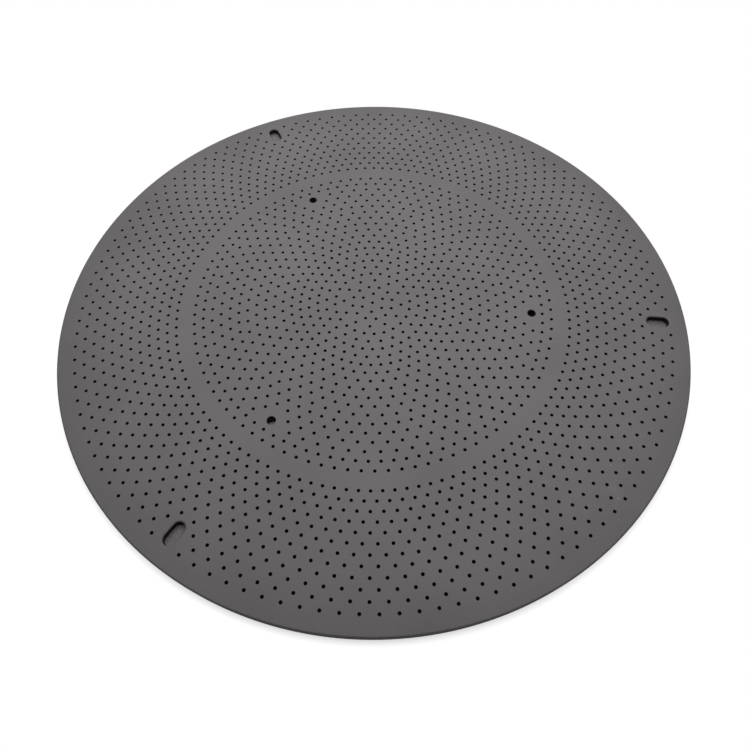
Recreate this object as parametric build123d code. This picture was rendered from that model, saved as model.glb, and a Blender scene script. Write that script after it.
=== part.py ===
from build123d import *
from math import hypot
import os

# Gas distribution showerhead: the round perforated plate that spreads process gas evenly over a wafer.
# It is one piece, turned and drilled from graphite and coated all over with silicon carbide.
# Millimetres, +Z up. The origin is the centre of the underside, and one slot lies along +X.

# Plate
PLATE_DIAMETER = 349.25
PLATE_THICKNESS = 6.35
RIM_CHAMFER = 0.5

# Gas holes, drilled through on evenly pitched rings. Ring 1 is the outermost.
GAS_HOLE_DIAMETER = 1.59
RIM_LAND = 9.525  # from the rim to the centres of ring 1
INNER_RING_DIAMETER = 12.7  # the last ring, around the single hole at the centre
RING_COUNT = 33
# First ring, last ring and holes in each. The ring that no zone names is the blank band.
ZONES = (
    (1, 12, 120),
    (14, 15, 96),
    (16, 19, 72),
    (20, 22, 60),
    (23, 26, 48),
    (27, 28, 36),
    (29, 30, 24),
    (31, 32, 12),
    (33, 33, 6),
)
# A gas hole is left out where its centre would be nearer than this to the wall of a slot or a pin hole.
GAS_HOLE_LAND = 2.5
# The solid carries the pattern thinned out evenly: the centre hole and, from ring 1 inward, every
# second hole of every third ring, so that the blank band keeps its share of the spacing. They are
# flat-sided, with the drilled hole's area. The holes between them follow the same rule.
CUT_RING_STEP = 3
CUT_HOLE_STEP = 2
GAS_HOLE_SIDES = 5

# Stations around the plate, each with a blind locating slot near the rim and a pin hole.
STATION_COUNT = 3
SLOT_INSET = 5.75  # from ring 1 inward to the middle of the slot
SLOT_LENGTH = 12.0  # along the radius, wall to wall
SLOT_WIDTH = 6.0
SLOT_DEPTH = 3.6
SLOT_MOUTH_CHAMFER = 0.6
PIN_CIRCLE_DIAMETER = 179.4
PIN_HOLE_DIAMETER = 4.76

plate_radius = PLATE_DIAMETER / 2
outer_ring_radius = plate_radius - RIM_LAND
inner_ring_radius = INNER_RING_DIAMETER / 2
ring_pitch = (outer_ring_radius - inner_ring_radius) / (RING_COUNT - 1)
slot_radius = outer_ring_radius - SLOT_INSET
pin_circle_radius = PIN_CIRCLE_DIAMETER / 2
station_angles = [station * 360 / STATION_COUNT for station in range(STATION_COUNT)]


def gap_to_slot(along, across):
    """From a point in a station's own frame, along the radius and across it, to the slot's wall."""
    half_straight = (SLOT_LENGTH - SLOT_WIDTH) / 2
    beyond = max(abs(along - slot_radius) - half_straight, 0)
    return hypot(beyond, across) - SLOT_WIDTH / 2


def gap_to_pin_hole(along, across):
    return hypot(along - pin_circle_radius, across) - PIN_HOLE_DIAMETER / 2


def least_gap(point, gap_in_station):
    """The least of one kind of gap from a point of the plate, over all the stations."""
    turned = [point.rotate(Axis.Z, -angle) for angle in station_angles]
    return min(gap_in_station(place.X, place.Y) for place in turned)


def ring_radius(ring):
    return outer_ring_radius - (ring - 1) * ring_pitch


def holes_in_ring(ring):
    for first, last, count in ZONES:
        if first <= ring <= last:
            return count
    return 0


def ring_phase(ring):
    """The first hole's angle as a share of the ring's pitch: the odd rings start in line with a
    slot, and the even rings and the last one half a pitch on."""
    return 0.5 if ring % 2 == 0 or ring == RING_COUNT else 0.0


def ring_angles(ring, step=1):
    """The angles, in degrees from +X, of the gas holes in one ring, or of one in every few of them."""
    count = holes_in_ring(ring)
    drilled = []
    for place in range(0, count, step):
        angle = (place + ring_phase(ring)) * 360 / count
        centre = Vector(ring_radius(ring), 0).rotate(Axis.Z, angle)
        land = min(least_gap(centre, gap_to_slot), least_gap(centre, gap_to_pin_hole))
        if land >= GAS_HOLE_LAND:
            drilled.append(angle)
    return drilled


def cut_holes():
    """The radius and angle of each gas hole that the solid carries, from ring 1 inward."""
    holes = []
    for ring in range(1, RING_COUNT + 1, CUT_RING_STEP):
        holes += [(ring_radius(ring), angle) for angle in ring_angles(ring, CUT_HOLE_STEP)]
    return holes + [(0, 0)]


def gas_hole_outlines():
    """The gas holes that the solid carries, as closed outlines."""
    drilled_area = Circle(GAS_HOLE_DIAMETER / 2).area
    corner_radius = (drilled_area / RegularPolygon(1, GAS_HOLE_SIDES).area) ** 0.5
    outline = RegularPolygon(corner_radius, GAS_HOLE_SIDES).wire()
    return [Rot(Z=angle) * Pos(X=radius) * outline for radius, angle in cut_holes()]


def pin_hole_outlines():
    outline = Circle(PIN_HOLE_DIAMETER / 2).wire()
    return [Rot(Z=angle) * Pos(X=pin_circle_radius) * outline for angle in station_angles]


def drilled_disc():
    """The disc with every hole that goes right through it, and a chamfer round both rim edges."""
    rim = Circle(plate_radius).wire()
    disc = extrude(Face(rim, gas_hole_outlines() + pin_hole_outlines()), PLATE_THICKNESS)
    circles = disc.edges().filter_by(GeomType.CIRCLE)
    rim_edges = [edge for edge in circles if abs(edge.radius - plate_radius) < RIM_CHAMFER]
    return chamfer(rim_edges, min(RIM_CHAMFER, 0.45 * PLATE_THICKNESS))


def slot_cutters():
    """The blind, round-ended slots, sunk from the top face, each with a mouth that flares at 45 degrees."""
    outline = SlotOverall(SLOT_LENGTH, SLOT_WIDTH)
    flare = min(SLOT_MOUTH_CHAMFER, 0.9 * SLOT_DEPTH)
    walls = Pos(Z=-SLOT_DEPTH) * extrude(outline, SLOT_DEPTH)
    mouth = Pos(Z=-flare) * extrude(outline, flare, taper=-45)
    seated = Pos(slot_radius, 0, PLATE_THICKNESS) * (walls + mouth)
    return [Rot(Z=angle) * seated for angle in station_angles]


def showerhead_plate():
    return drilled_disc() - slot_cutters()


os.makedirs("parts", exist_ok=True)
export_step(showerhead_plate(), "parts/showerhead_plate.step")

drilled = 1 + sum(len(ring_angles(ring)) for ring in range(1, RING_COUNT + 1))
print("ring pitch", round(ring_pitch, 3), "gas holes in the pattern", drilled, "in the solid", len(cut_holes()))
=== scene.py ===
# %% [markdown]
# # A gas distribution showerhead
#
# The object is one round plate, about 350 mm across and 6 mm thick, that spreads process gas over a
# wafer. It is turned and drilled from graphite, then coated all over with silicon carbide. More than
# two thousand fine holes lie on evenly pitched rings, and three blind slots near the rim locate it.
#
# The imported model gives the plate's place and size. It carries only some of the gas holes, thinned out
# evenly, so this script builds the fully drilled plate in its place, finishes it and lights it.

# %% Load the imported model
import math

import bmesh
import bpy
from mathutils import Matrix, Vector


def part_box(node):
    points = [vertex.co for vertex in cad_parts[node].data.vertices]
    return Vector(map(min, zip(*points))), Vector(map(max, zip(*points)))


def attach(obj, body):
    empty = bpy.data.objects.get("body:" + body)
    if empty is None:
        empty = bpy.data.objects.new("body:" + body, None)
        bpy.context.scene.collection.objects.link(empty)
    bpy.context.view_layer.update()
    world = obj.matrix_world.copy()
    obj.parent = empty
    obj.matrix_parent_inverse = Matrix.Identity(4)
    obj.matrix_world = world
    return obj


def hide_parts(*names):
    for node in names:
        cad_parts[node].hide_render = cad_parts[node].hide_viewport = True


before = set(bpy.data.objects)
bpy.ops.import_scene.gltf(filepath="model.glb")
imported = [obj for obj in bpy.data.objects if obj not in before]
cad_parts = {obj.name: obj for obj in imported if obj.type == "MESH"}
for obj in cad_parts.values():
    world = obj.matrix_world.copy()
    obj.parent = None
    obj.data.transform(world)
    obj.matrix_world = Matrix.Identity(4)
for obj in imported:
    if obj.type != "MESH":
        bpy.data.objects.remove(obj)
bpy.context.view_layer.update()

# %% [markdown]
# ## Sizes
#
# Blender works in metres here, and drawings of such a plate are in millimetres, so one constant turns
# the second into the first. The outside of the plate is read from the frame. Everything that is drilled
# or milled into it is named below, and the ring pitch follows from the first and the last ring.

# %% Sizes of the plate, its rings and its slots
MM = 0.001

plate_low, plate_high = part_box("showerhead_plate")
PLATE_RADIUS = (plate_high[0] - plate_low[0]) / 2
PLATE_TOP = plate_high[2]
PLATE_BOTTOM = plate_low[2]
RIM_EDGE_RADIUS = 1.0 * MM

GAS_HOLE_RADIUS = 1.59 / 2 * MM
GAS_HOLE_FLARE = 0.09 * MM
GAS_HOLE_FLARE_DEPTH = 0.4 * MM
RIM_LAND = 9.525 * MM
OUTER_RING_RADIUS = PLATE_RADIUS - RIM_LAND
INNER_RING_RADIUS = 6.35 * MM
RING_COUNT = 33
RING_PITCH = (OUTER_RING_RADIUS - INNER_RING_RADIUS) / (RING_COUNT - 1)

STATION_ANGLES = [math.radians(angle) for angle in (0, 120, 240)]
SLOT_INSET = 5.75 * MM
SLOT_RADIUS = OUTER_RING_RADIUS - SLOT_INSET
SLOT_LENGTH = 12.0 * MM
SLOT_WIDTH = 6.0 * MM
SLOT_DEPTH = 3.6 * MM
SLOT_EDGE_RADIUS = 1.0 * MM
SLOT_FLOOR_RADIUS = 0.5 * MM
PIN_CIRCLE_RADIUS = 179.4 / 2 * MM
PIN_HOLE_RADIUS = 4.76 / 2 * MM
PIN_HOLE_EDGE = 0.15 * MM
HOLE_LAND = 2.5 * MM

print("ring pitch", round(RING_PITCH / MM, 3), "mm")

# %% [markdown]
# ## The camera
#
# The photograph looks down on the plate from about 60 degrees, close enough that the far holes are
# plainly smaller than the near ones. The rings are circles of known ratio, so their picture fixes the
# lens and the place of the camera. A camera is set by three turns in a row: round the upright axis,
# down from the horizon, and a small roll in its own plane. A slight shift then centres the picture.

# %% Camera
CAMERA_AZIMUTH = math.radians(5.87)
CAMERA_ELEVATION = math.radians(60.616)
CAMERA_ROLL = math.radians(-1.003)
CAMERA_PLACE = Vector((18.97, -195.62, 270.91)) * MM
CAMERA_LENS = 27.554
CAMERA_SENSOR = 36.0
CAMERA_NEAREST = 10 * MM
CAMERA_SHIFT_X = 0.00435
CAMERA_SHIFT_Y = 0.00067

camera_data = bpy.data.cameras.new("camera")
camera_data.sensor_width = CAMERA_SENSOR
camera_data.lens = CAMERA_LENS
camera_data.shift_x = CAMERA_SHIFT_X
camera_data.shift_y = CAMERA_SHIFT_Y
camera_data.clip_start = CAMERA_NEAREST
camera = bpy.data.objects.new("camera", camera_data)
bpy.context.scene.collection.objects.link(camera)
camera.matrix_world = (
    Matrix.Translation(CAMERA_PLACE)
    @ Matrix.Rotation(CAMERA_AZIMUTH, 4, "Z")
    @ Matrix.Rotation(math.pi / 2 - CAMERA_ELEVATION, 4, "X")
    @ Matrix.Rotation(CAMERA_ROLL, 4, "Z")
)
bpy.context.scene.camera = camera
print("camera", round(CAMERA_PLACE.length / MM), "mm from the middle of the plate")

# %% [markdown]
# ## The ring rule
#
# Drilled plates like this one follow a rule that a machinist can type in: each ring has a number of
# holes, and fewer as the rings get smaller, so that the gas flow stays even. The odd rings start in
# line with a slot and the even ones half a pitch on, which staggers the holes. One ring near the
# middle of the radius has none. A hole that would break into a slot or a pin hole is left out.

# %% Which holes are drilled
ZONES = (
    (1, 12, 120),
    (14, 15, 96),
    (16, 19, 72),
    (20, 22, 60),
    (23, 26, 48),
    (27, 28, 36),
    (29, 30, 24),
    (31, 32, 12),
    (33, 33, 6),
)


def gap_to_station(x, y):
    """From a point to the nearest wall of a slot or a pin hole."""
    gaps = []
    for angle in STATION_ANGLES:
        along = x * math.cos(angle) + y * math.sin(angle)
        across = y * math.cos(angle) - x * math.sin(angle)
        beyond = max(abs(along - SLOT_RADIUS) - (SLOT_LENGTH - SLOT_WIDTH) / 2, 0)
        gaps.append(math.hypot(beyond, across) - SLOT_WIDTH / 2)
        gaps.append(math.hypot(along - PIN_CIRCLE_RADIUS, across) - PIN_HOLE_RADIUS)
    return min(gaps)


def gas_hole_places():
    """The centre hole, and then ring by ring from the outside in."""
    places = [(0.0, 0.0)]
    for first, last, count in ZONES:
        for ring in range(first, last + 1):
            radius = OUTER_RING_RADIUS - (ring - 1) * RING_PITCH
            phase = 0.5 if ring % 2 == 0 or ring == RING_COUNT else 0.0
            for place in range(count):
                angle = (place + phase) * math.tau / count
                x, y = radius * math.cos(angle), radius * math.sin(angle)
                if gap_to_station(x, y) >= HOLE_LAND:
                    places.append((x, y))
    return places


gas_holes = gas_hole_places()
print("gas holes:", len(gas_holes))

# %% [markdown]
# ## The turned disc
#
# The blank is a disc whose two rim edges are rounded, because a coating cracks on a sharp edge. A
# circle of many sides is pushed up by the plate's thickness, and the two rim loops are bevelled. The
# bevel's profile of 0.5 makes a true quarter round.

# %% Disc blank
RIM_SIDES = 300
RIM_EDGE_STEPS = 5
LEVEL_WITHIN = 1e-9


def is_level(edge):
    return abs(edge.verts[0].co.z - edge.verts[1].co.z) < LEVEL_WITHIN


def disc_blank():
    bm = bmesh.new()
    made = bmesh.ops.create_circle(bm, cap_ends=True, segments=RIM_SIDES, radius=PLATE_RADIUS)
    bmesh.ops.translate(bm, verts=made["verts"], vec=(0, 0, PLATE_BOTTOM))
    pushed = bmesh.ops.extrude_face_region(bm, geom=bm.faces[:])["geom"]
    top_verts = [item for item in pushed if isinstance(item, bmesh.types.BMVert)]
    bmesh.ops.translate(bm, verts=top_verts, vec=(0, 0, PLATE_TOP - PLATE_BOTTOM))
    bmesh.ops.recalc_face_normals(bm, faces=bm.faces[:])
    rim_loops = [edge for edge in bm.edges if is_level(edge)]
    bmesh.ops.bevel(
        bm,
        geom=rim_loops,
        offset=RIM_EDGE_RADIUS,
        offset_type="OFFSET",
        segments=RIM_EDGE_STEPS,
        profile=0.5,
        affect="EDGES",
        material=-1,
    )
    return bm


blank = disc_blank()
print("blank:", len(blank.faces), "faces")

# %% [markdown]
# ## Drills and cutters
#
# A hole is easiest to make the way a workshop does: the shape of the tool is taken away from the
# blank. Each tool is turned from a profile, so that the edge it leaves is already flared or rounded. The
# gas drill has only 12 sides, because more than two thousand copies of it are used. Its flare is chosen
# for the look: with it, the small holes are as wide and dark in the render as in the photograph, which
# is too coarse to show whether the real ones flare.

# %% Helpers that turn and place cutters
TURNED_STEPS = 48
OVERSHOOT = 1 * MM
MERGE = 1e-7


def arc(centre_radius, centre_z, radius, start, end, steps):
    """Points along part of a circle in the (radius, z) plane, with angles in degrees."""
    points = []
    for step in range(steps + 1):
        angle = math.radians(start + (end - start) * step / steps)
        points.append((centre_radius + radius * math.cos(angle), centre_z + radius * math.sin(angle)))
    return points


def profile_chain(bm, profile, x):
    """A chain of edges through (radius, z) points, standing in the plane at x and leaning to -Y."""
    verts = [bm.verts.new((x, -radius, z)) for radius, z in profile]
    edges = [bm.edges.new(pair) for pair in zip(verts, verts[1:])]
    return verts + edges


def close_up(bm):
    """Merges doubled points and points the faces outwards."""
    bmesh.ops.remove_doubles(bm, verts=bm.verts[:], dist=MERGE)
    bmesh.ops.recalc_face_normals(bm, faces=bm.faces[:])
    return bm


def turned(profile, steps):
    """A closed cutter whose (radius, z) profile goes once round the upright axis."""
    bm = bmesh.new()
    bmesh.ops.spin(
        bm,
        geom=profile_chain(bm, profile, 0),
        cent=(0, 0, 0),
        axis=(0, 0, 1),
        angle=math.tau,
        steps=steps,
        use_merge=True,
    )
    return close_up(bm)


def add_copies(target, cutter, matrices):
    """Adds a copy of one cutter to another mesh at each of some places, and frees the cutter."""
    mesh = bpy.data.meshes.new("cutter")
    cutter.to_mesh(mesh)
    for matrix in matrices:
        placed = mesh.copy()
        placed.transform(matrix)
        target.from_mesh(placed)
        bpy.data.meshes.remove(placed)
    bpy.data.meshes.remove(mesh)
    cutter.free()


# %% Gas drill
GAS_HOLE_SIDES = 12


def turn_gas_drill():
    """A straight bore whose mouth flares a little. Its corners lie just outside the real circle, so
    that the few-sided hole lets through as much gas as the round one."""
    corner = math.sqrt(math.tau / (GAS_HOLE_SIDES * math.sin(math.tau / GAS_HOLE_SIDES)))
    bore = GAS_HOLE_RADIUS * corner
    flare_start = PLATE_TOP - GAS_HOLE_FLARE_DEPTH
    flare_end = PLATE_TOP + OVERSHOOT
    wide = bore + GAS_HOLE_FLARE * (flare_end - flare_start) / GAS_HOLE_FLARE_DEPTH
    profile = [(0, PLATE_BOTTOM - OVERSHOOT), (bore, PLATE_BOTTOM - OVERSHOOT)]
    profile += [(bore, flare_start), (wide, flare_end), (0, flare_end)]
    return turned(profile, GAS_HOLE_SIDES)


gas_drill = turn_gas_drill()
print("gas drill:", len(gas_drill.faces), "faces")

# %% Pin drill
PIN_EDGE_STEPS = 3


def turn_pin_drill():
    """A straight bore whose two edges are lightly rounded."""
    wide = PIN_HOLE_RADIUS + PIN_HOLE_EDGE
    profile = [(0, PLATE_BOTTOM - OVERSHOOT), (wide, PLATE_BOTTOM - OVERSHOOT)]
    profile += arc(wide, PLATE_BOTTOM + PIN_HOLE_EDGE, PIN_HOLE_EDGE, 270, 180, PIN_EDGE_STEPS)
    profile += arc(wide, PLATE_TOP - PIN_HOLE_EDGE, PIN_HOLE_EDGE, 180, 90, PIN_EDGE_STEPS)
    profile += [(wide, PLATE_TOP + OVERSHOOT), (0, PLATE_TOP + OVERSHOOT)]
    return turned(profile, TURNED_STEPS)


pin_drill = turn_pin_drill()
print("pin drill:", len(pin_drill.faces), "faces")

# %% Slot cutter
SLOT_EDGE_STEPS = 6
SLOT_FLOOR_STEPS = 4


def turn_slot_cutter():
    """One round end is turned through half a circle, drawn out to the middle, and mirrored."""
    half_straight = (SLOT_LENGTH - SLOT_WIDTH) / 2
    wall = SLOT_WIDTH / 2
    bottom = PLATE_TOP - SLOT_DEPTH
    wide = wall + SLOT_EDGE_RADIUS
    inner = wall - SLOT_FLOOR_RADIUS
    profile = [(0, bottom)]
    profile += arc(inner, bottom + SLOT_FLOOR_RADIUS, SLOT_FLOOR_RADIUS, -90, 0, SLOT_FLOOR_STEPS)
    profile += arc(wide, PLATE_TOP - SLOT_EDGE_RADIUS, SLOT_EDGE_RADIUS, 180, 90, SLOT_EDGE_STEPS)
    profile += [(wide, PLATE_TOP + OVERSHOOT), (0, PLATE_TOP + OVERSHOOT)]
    bm = bmesh.new()
    bmesh.ops.spin(
        bm,
        geom=profile_chain(bm, profile, half_straight),
        cent=(half_straight, 0, 0),
        axis=(0, 0, 1),
        angle=math.pi,
        steps=TURNED_STEPS // 2,
    )
    close_up(bm)
    open_edges = [edge for edge in bm.edges if edge.is_boundary]
    drawn = bmesh.ops.extrude_edge_only(bm, edges=open_edges)["geom"]
    drawn_verts = [item for item in drawn if isinstance(item, bmesh.types.BMVert)]
    bmesh.ops.translate(bm, verts=drawn_verts, vec=(-half_straight, 0, 0))
    bmesh.ops.mirror(bm, geom=bm.verts[:] + bm.edges[:] + bm.faces[:], axis="X", merge_dist=MERGE)
    return close_up(bm)


slot_cutter = turn_slot_cutter()
print("slot cutter:", len(slot_cutter.faces), "faces")


# %% All the cutters
def all_cutters():
    bm = bmesh.new()
    turns = [Matrix.Rotation(angle, 4, "Z") for angle in STATION_ANGLES]
    pin_place = Matrix.Translation((PIN_CIRCLE_RADIUS, 0, 0))
    slot_place = Matrix.Translation((SLOT_RADIUS, 0, 0))
    add_copies(bm, gas_drill, [Matrix.Translation((x, y, 0)) for x, y in gas_holes])
    add_copies(bm, pin_drill, [turn @ pin_place for turn in turns])
    add_copies(bm, slot_cutter, [turn @ slot_place for turn in turns])
    return bm


cutters = all_cutters()
open_count = sum(edge.is_boundary for edge in cutters.edges)
print("cutters:", len(cutters.faces), "faces, open edges:", open_count)

# %% [markdown]
# ## Drilling
#
# A Boolean modifier takes every cutter away at once. Its Manifold solver is quick on thousands of
# closed shapes. The result is kept as a plain mesh. Its walls are shaded smooth, and its edges stay
# crisp where two faces meet at more than 40 degrees. Weighted normals keep the wide flat faces flat
# right up to the rounded edges.

# %% Cut the plate
SMOOTH_BELOW = math.radians(40)


def object_from(bm, name):
    mesh = bpy.data.meshes.new(name)
    bm.to_mesh(mesh)
    bm.free()
    made = bpy.data.objects.new(name, mesh)
    bpy.context.scene.collection.objects.link(made)
    return made


def cut_away(blank_object, cutter_object):
    """Takes the cutters out of the blank, which is left a plain mesh with no modifier on it."""
    boolean = blank_object.modifiers.new("drill", "BOOLEAN")
    boolean.operation = "DIFFERENCE"
    boolean.solver = "MANIFOLD"
    boolean.object = cutter_object
    evaluated = blank_object.evaluated_get(bpy.context.evaluated_depsgraph_get())
    drilled = bpy.data.meshes.new_from_object(evaluated)
    blank_object.modifiers.clear()
    blank_object.data = drilled
    bpy.data.objects.remove(cutter_object)


plate = object_from(blank, "drilled_plate")
cut_away(plate, object_from(cutters, "cutters"))
plate.data.polygons.foreach_set("use_smooth", [True] * len(plate.data.polygons))
plate.data.set_sharp_from_angle(angle=SMOOTH_BELOW)
normals = plate.modifiers.new("flat faces stay flat", "WEIGHTED_NORMAL")
normals.keep_sharp = True
plate.data.calc_loop_triangles()
print("plate:", len(plate.data.loop_triangles), "triangles")

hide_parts("showerhead_plate")
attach(plate, "root")

# %% [markdown]
# ## The finish
#
# The plate has two materials: the grey skin of its coating, and a much darker one on the steep walls of
# the holes and slots. The second is painted shade: those walls are the same grey coating, and their
# colour is darkened to stand for the deep shadow in them. Both are built from nodes. Their patterns
# read Object coordinates, so each has a real size in millimetres and stays on the plate from any side.
# Colours are written as hex values, and one function turns them into the linear values that Blender's
# sockets take.


# %% Colour and node helpers
def linear(hex_colour):
    """An sRGB hex colour as the linear values that Blender's sockets take."""
    channels = [int(hex_colour[i : i + 2], 16) / 255 for i in (1, 3, 5)]
    straight = [c / 12.92 if c <= 0.04045 else ((c + 0.055) / 1.055) ** 2.4 for c in channels]
    return (*straight, 1.0)


def add_node(tree, kind, settings=None, links=None):
    """A node with its settings. A setting whose name is an input goes on that socket, and a link's
    value is the socket that feeds it."""
    node = tree.nodes.new(kind)
    for name, value in (settings or {}).items():
        if name in node.inputs:
            node.inputs[name].default_value = value
        else:
            setattr(node, name, value)
    for name, source in (links or {}).items():
        tree.links.new(source, node.inputs[name])
    return node


def new_material(name):
    material = bpy.data.materials.new(name)
    material.use_nodes = True
    material.node_tree.nodes.clear()
    return material, material.node_tree


print("#808080 is", round(linear("#808080")[0], 3), "in linear values")

# %% [markdown]
# ## Grain
#
# The coating grows from vapour as crystals a few hundredths of a millimetre across. They are too fine
# for the picture, so the grain is drawn coarser, at 0.45 mm. It is noise rather than a regular pattern,
# because the crystals lie in no order. The coating and the painted shade in the bores share it.

# %% Crystal grain, drawn coarser than it is
GRAIN = 0.45 * MM


def crystal_grain(tree, place):
    grain = add_node(
        tree, "ShaderNodeTexNoise", {"Scale": 1 / GRAIN, "Detail": 2.0, "Roughness": 0.7}, {"Vector": place}
    )
    return grain.outputs["Fac"]


print("grain:", round(GRAIN / MM, 2), "mm")

# %% [markdown]
# ## Tone and marks
#
# The grey is not quite even. The outermost centimetres are a little darker, and one place near the rim
# has faint pale smears and a few pale specks. They could be painted in a picture, but a node that
# measures the distance from a point needs none, and its reach is given in millimetres.

# %% Darker towards the rim
RIM_BAND = 26 * MM
RIM_TONE = 0.84


def rim_tone(tree, place):
    """Falls from 1 to a slightly darker tone at the rim."""
    away = add_node(tree, "ShaderNodeVectorMath", {"operation": "LENGTH"}, {0: place})
    band = add_node(
        tree,
        "ShaderNodeMapRange",
        {"From Min": PLATE_RADIUS - RIM_BAND, "From Max": PLATE_RADIUS, "To Min": 1.0, "To Max": RIM_TONE},
        {"Value": away.outputs["Value"]},
    )
    return band.outputs["Result"]


print("rim band:", round(RIM_BAND / MM), "mm wide, down to", RIM_TONE)

# %% Pale smears and specks round one place near the rim
PALE_MARKS_PLACE = Vector((112.0 * MM, -94.0 * MM, PLATE_TOP))
PALE_MARKS_REACH = 34 * MM
SMEAR_SIZE = 9 * MM
SMEAR_RANGE = (0.48, 0.7)
SMEAR_PALER = 0.14
SPECK_SPACING = 16 * MM
SPECK_RADIUS = 0.55 * MM
SPECK_PALER = 0.6


# Paler smears and specks, only within a set reach of one place near the rim.
def pale_marks(tree, place):
    """How much paler the faint smears and the few specks are, round one place near the rim."""
    centred = add_node(tree, "ShaderNodeMapping", {"Location": -PALE_MARKS_PLACE}, {"Vector": place})
    away = add_node(tree, "ShaderNodeVectorMath", {"operation": "LENGTH"}, {0: centred.outputs["Vector"]})
    within = add_node(
        tree,
        "ShaderNodeMapRange",
        {"From Min": PALE_MARKS_REACH, "From Max": PALE_MARKS_REACH / 2},
        {"Value": away.outputs["Value"]},
    )
    smears = add_node(
        tree,
        "ShaderNodeTexNoise",
        {"Scale": 1 / SMEAR_SIZE, "Detail": 4.0, "Roughness": 0.6},
        {"Vector": place},
    )
    smeared = add_node(
        tree,
        "ShaderNodeMapRange",
        {"From Min": SMEAR_RANGE[0], "From Max": SMEAR_RANGE[1], "To Max": SMEAR_PALER},
        {"Value": smears.outputs["Fac"]},
    )
    cells = add_node(
        tree,
        "ShaderNodeTexVoronoi",
        {"voronoi_dimensions": "2D", "Scale": 1 / SPECK_SPACING},
        {"Vector": place},
    )
    speck_edge = SPECK_RADIUS / SPECK_SPACING
    specks = add_node(
        tree,
        "ShaderNodeMapRange",
        {"From Min": speck_edge, "From Max": speck_edge / 2, "To Max": SPECK_PALER},
        {"Value": cells.outputs["Distance"]},
    )
    paler = add_node(
        tree,
        "ShaderNodeMath",
        {"operation": "ADD"},
        {0: smeared.outputs["Result"], 1: specks.outputs["Result"]},
    )
    marks = add_node(
        tree,
        "ShaderNodeMath",
        {"operation": "MULTIPLY"},
        {0: paler.outputs["Value"], 1: within.outputs["Result"]},
    )
    return marks.outputs["Value"]


print("marks: within", round(PALE_MARKS_REACH / MM), "mm of", [round(c / MM, 2) for c in PALE_MARKS_PLACE])

# %% [markdown]
# ## The coating
#
# Silicon carbide grown on graphite is a hard, matte grey skin. It scatters light almost evenly, with a
# faint sheen at a low angle. Its refractive index is set well below a polished crystal's, because so
# rough a skin shines far less. Wide soft clouds, the speckle of the crystals, the marks and the tone of
# the rim make its colour, and the grain gives it a slight relief.

# %% Silicon carbide coating on graphite
BLEND = (0.35, 0.65)
CLOUD = 55 * MM
CLOUD_DARK = "#6a6668"
CLOUD_PALE = "#726d6f"
SPECKLE = 0.12
SPECKLE_RANGE = (0.3, 0.7)
COATING_ROUGHNESS = 0.62
COATING_IOR = 1.6
GRAIN_HEIGHT = 0.02 * MM
GRAIN_STRENGTH = 0.25


def coating_colour(tree, place, grain):
    """The clouds, times the speckle of the crystals with the pale smears and specks, times the rim's tone.
    """
    clouds = add_node(
        tree,
        "ShaderNodeTexNoise",
        {"Scale": 1 / CLOUD, "Detail": 3.0, "Roughness": 0.55},
        {"Vector": place},
    )
    grey = add_node(tree, "ShaderNodeValToRGB", links={"Fac": clouds.outputs["Fac"]})
    for stop, position, colour in zip(grey.color_ramp.elements, BLEND, (CLOUD_DARK, CLOUD_PALE)):
        stop.position = position
        stop.color = linear(colour)
    speckle = add_node(
        tree,
        "ShaderNodeMapRange",
        {
            "From Min": SPECKLE_RANGE[0],
            "From Max": SPECKLE_RANGE[1],
            "To Min": 1 - SPECKLE,
            "To Max": 1 + SPECKLE,
        },
        {"Value": grain},
    )
    marked = add_node(
        tree,
        "ShaderNodeMath",
        {"operation": "ADD"},
        {0: speckle.outputs["Result"], 1: pale_marks(tree, place)},
    )
    level = add_node(
        tree,
        "ShaderNodeMath",
        {"operation": "MULTIPLY"},
        {0: marked.outputs["Value"], 1: rim_tone(tree, place)},
    )
    # Inputs 6 and 7 and output 2 are the mix node's colours.
    shade = add_node(
        tree,
        "ShaderNodeMix",
        {"data_type": "RGBA", "blend_type": "MULTIPLY", "Factor": 1.0},
        {6: grey.outputs["Color"], 7: level.outputs["Value"]},
    )
    return shade.outputs[2]


def coating_material():
    material, tree = new_material("silicon_carbide_coating")
    place = add_node(tree, "ShaderNodeTexCoord").outputs["Object"]
    grain = crystal_grain(tree, place)
    relief = add_node(
        tree, "ShaderNodeBump", {"Strength": GRAIN_STRENGTH, "Distance": GRAIN_HEIGHT}, {"Height": grain}
    )
    surface = add_node(
        tree,
        "ShaderNodeBsdfPrincipled",
        {"Roughness": COATING_ROUGHNESS, "IOR": COATING_IOR, "Metallic": 0.0},
        {"Base Color": coating_colour(tree, place, grain), "Normal": relief.outputs["Normal"]},
    )
    add_node(tree, "ShaderNodeOutputMaterial", links={"Surface": surface.outputs["BSDF"]})
    return material


coating = coating_material()
print("coating:", coating.name, "with", len(coating.node_tree.nodes), "nodes")

# %% [markdown]
# ## Inside the holes and slots
#
# The holes are nearly black in the photograph. Their walls are the same grey coating in deep shadow, and
# that shade is painted as a second, nearly black material with almost no gloss. One material could turn
# darker with depth, but a second one, given to each wall by where it points, is plainer to read and to
# change.

# %% Painted shade on the walls of the holes and slots
# Painted shade: the walls of the holes and slots are the same grey coating, and these near-black colours
# stand for their deep shadow.
BORE_SHADE_DARK = "#1f1e1f"
BORE_SHADE_PALE = "#2c2a2b"
BORE_SHADE_ROUGHNESS = 0.85
BORE_SHADE_IOR = 1.45


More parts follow.
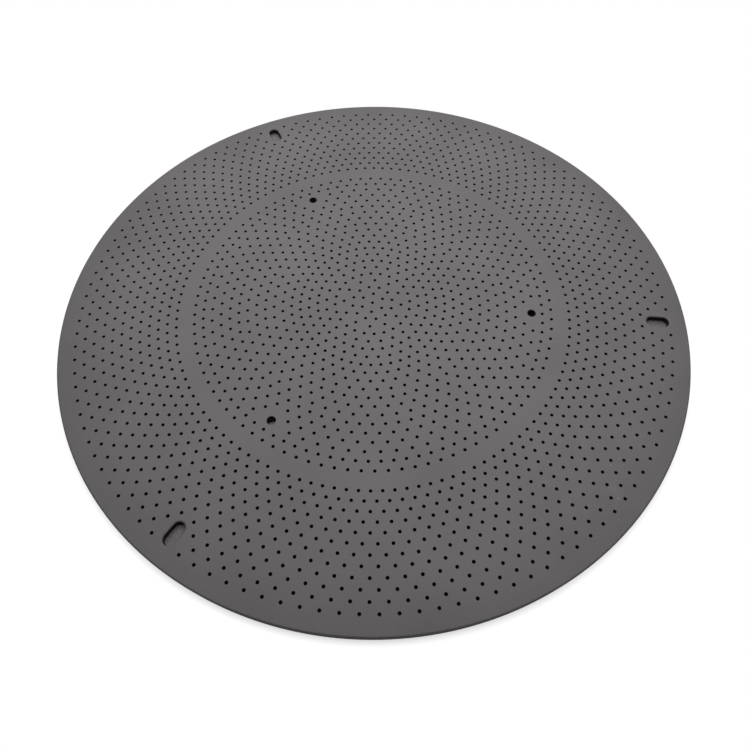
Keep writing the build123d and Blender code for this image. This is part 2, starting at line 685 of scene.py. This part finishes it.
def painted_bore_shade_material():
    material, tree = new_material("painted_bore_shade")
    place = add_node(tree, "ShaderNodeTexCoord").outputs["Object"]
    black = add_node(tree, "ShaderNodeValToRGB", links={"Fac": crystal_grain(tree, place)})
    for stop, position, colour in zip(black.color_ramp.elements, BLEND, (BORE_SHADE_DARK, BORE_SHADE_PALE)):
        stop.position = position
        stop.color = linear(colour)
    surface = add_node(
        tree,
        "ShaderNodeBsdfPrincipled",
        {"Roughness": BORE_SHADE_ROUGHNESS, "IOR": BORE_SHADE_IOR, "Metallic": 0.0},
        {"Base Color": black.outputs["Color"]},
    )
    add_node(tree, "ShaderNodeOutputMaterial", links={"Surface": surface.outputs["BSDF"]})
    return material


bore_shade = painted_bore_shade_material()
print("drilled walls:", bore_shade.name, "with", len(bore_shade.node_tree.nodes), "nodes")

# %% Give each face its material, with painted shade on the steep walls of the holes and slots
# A face stands at more than 60 degrees where the upright part of its normal is under 0.5.
STEEP = 0.5


def is_painted_shade_wall(face):
    """True on the steep walls of the holes and slots, which get the painted shade, but not on the rim."""
    inside = face.center.xy.length < PLATE_RADIUS - 2 * RIM_EDGE_RADIUS
    return inside and abs(face.normal.z) < STEEP


plate.data.materials.clear()
plate.data.materials.append(coating)
# The second material paints the shade on the steep walls of the holes and slots.
plate.data.materials.append(bore_shade)
for face in plate.data.polygons:
    face.material_index = int(is_painted_shade_wall(face))
wall_count = sum(face.material_index for face in plate.data.polygons)
print("dark walls:", wall_count, "of", len(plate.data.polygons), "faces")

# %% [markdown]
# ## Floor, background and light
#
# The photograph shows the plate on pure white, under wide soft light that comes mostly from behind: the
# far side is a little lighter than the near side. The floor and the world are white where the camera
# looks straight at them. The light that falls on the plate is set apart from that: one wide softbox
# hangs over the far half of the plate, and the world adds a little fill.

# %% White floor
FLOOR_SIZE = 4.0
FLOOR_GAP = 0.05 * MM
PAPER = "#e6e6e6"
WHITE = (1, 1, 1, 1)
# The plate's shadow on the paper fades out from 6 mm inside the rim to 3 mm beyond it.
SHADOW_START = 6 * MM
SHADOW_REACH = 3 * MM


def floor_material():
    """Matte paper. The camera sees it pure white from a little beyond the rim outwards. Nearer in, it
    turns by degrees into paper that shows the plate's shadow, and under the plate it is only that."""
    material, tree = new_material("white_paper")
    place = add_node(tree, "ShaderNodeTexCoord").outputs["Object"]
    away = add_node(tree, "ShaderNodeVectorMath", {"operation": "LENGTH"}, {0: place})
    clear = add_node(
        tree,
        "ShaderNodeMapRange",
        {"From Min": PLATE_RADIUS - SHADOW_START, "From Max": PLATE_RADIUS + SHADOW_REACH},
        {"Value": away.outputs["Value"]},
    )
    path = add_node(tree, "ShaderNodeLightPath")
    lift = add_node(
        tree,
        "ShaderNodeMath",
        {"operation": "MULTIPLY"},
        {0: clear.outputs["Result"], 1: path.outputs["Is Camera Ray"]},
    )
    paper = add_node(tree, "ShaderNodeBsdfDiffuse", {"Color": linear(PAPER)})
    white = add_node(tree, "ShaderNodeEmission", {"Color": WHITE, "Strength": 1.0})
    both = add_node(
        tree,
        "ShaderNodeMixShader",
        links={0: lift.outputs["Value"], 1: paper.outputs["BSDF"], 2: white.outputs["Emission"]},
    )
    add_node(tree, "ShaderNodeOutputMaterial", links={"Surface": both.outputs["Shader"]})
    return material


def floor_piece():
    bm = bmesh.new()
    bmesh.ops.create_grid(bm, x_segments=1, y_segments=1, size=FLOOR_SIZE / 2)
    bmesh.ops.translate(bm, verts=bm.verts[:], vec=(0, 0, PLATE_BOTTOM - FLOOR_GAP))
    made = object_from(bm, "floor")
    made.data.materials.append(floor_material())
    return made


floor = floor_piece()
print("floor:", round(floor.data.vertices[0].co.z / MM, 2), "mm high,", FLOOR_SIZE, "m across")

# %% World
WORLD_STRENGTH = 0.04


def white_world():
    world = bpy.data.worlds.new("studio")
    world.use_nodes = True
    tree = world.node_tree
    tree.nodes.clear()
    path = add_node(tree, "ShaderNodeLightPath")
    room = add_node(tree, "ShaderNodeBackground", {"Color": WHITE, "Strength": WORLD_STRENGTH})
    white = add_node(tree, "ShaderNodeBackground", {"Color": WHITE, "Strength": 1.0})
    both = add_node(
        tree,
        "ShaderNodeMixShader",
        links={0: path.outputs["Is Camera Ray"], 1: room.outputs[0], 2: white.outputs[0]},
    )
    add_node(tree, "ShaderNodeOutputWorld", links={"Surface": both.outputs[0]})
    bpy.context.scene.world = world


white_world()
print("world:", WORLD_STRENGTH, "of white as fill")

# %% Softbox
SOFTBOX_PLACE = Vector((-0.02, 0.28, 0.52))
SOFTBOX_TARGET = Vector((-0.02, 0.24, 0.0))
SOFTBOX_WIDTH = 0.9
SOFTBOX_DEPTH = 0.8
SOFTBOX_WATTS = 4.7


def softbox():
    light = bpy.data.lights.new("back_softbox", "AREA")
    light.shape = "RECTANGLE"
    light.size = SOFTBOX_WIDTH
    light.size_y = SOFTBOX_DEPTH
    light.energy = SOFTBOX_WATTS
    made = bpy.data.objects.new("back_softbox", light)
    made.location = SOFTBOX_PLACE
    made.rotation_euler = (SOFTBOX_TARGET - SOFTBOX_PLACE).to_track_quat("-Z", "Y").to_euler()
    made.visible_camera = False
    bpy.context.scene.collection.objects.link(made)
    return made


lamp = softbox()
bpy.context.scene.view_settings.view_transform = "Standard"
print("softbox:", round(lamp.data.size, 2), "by", round(lamp.data.size_y, 2), "m")
print("softbox power:", round(lamp.data.energy, 2), "W")
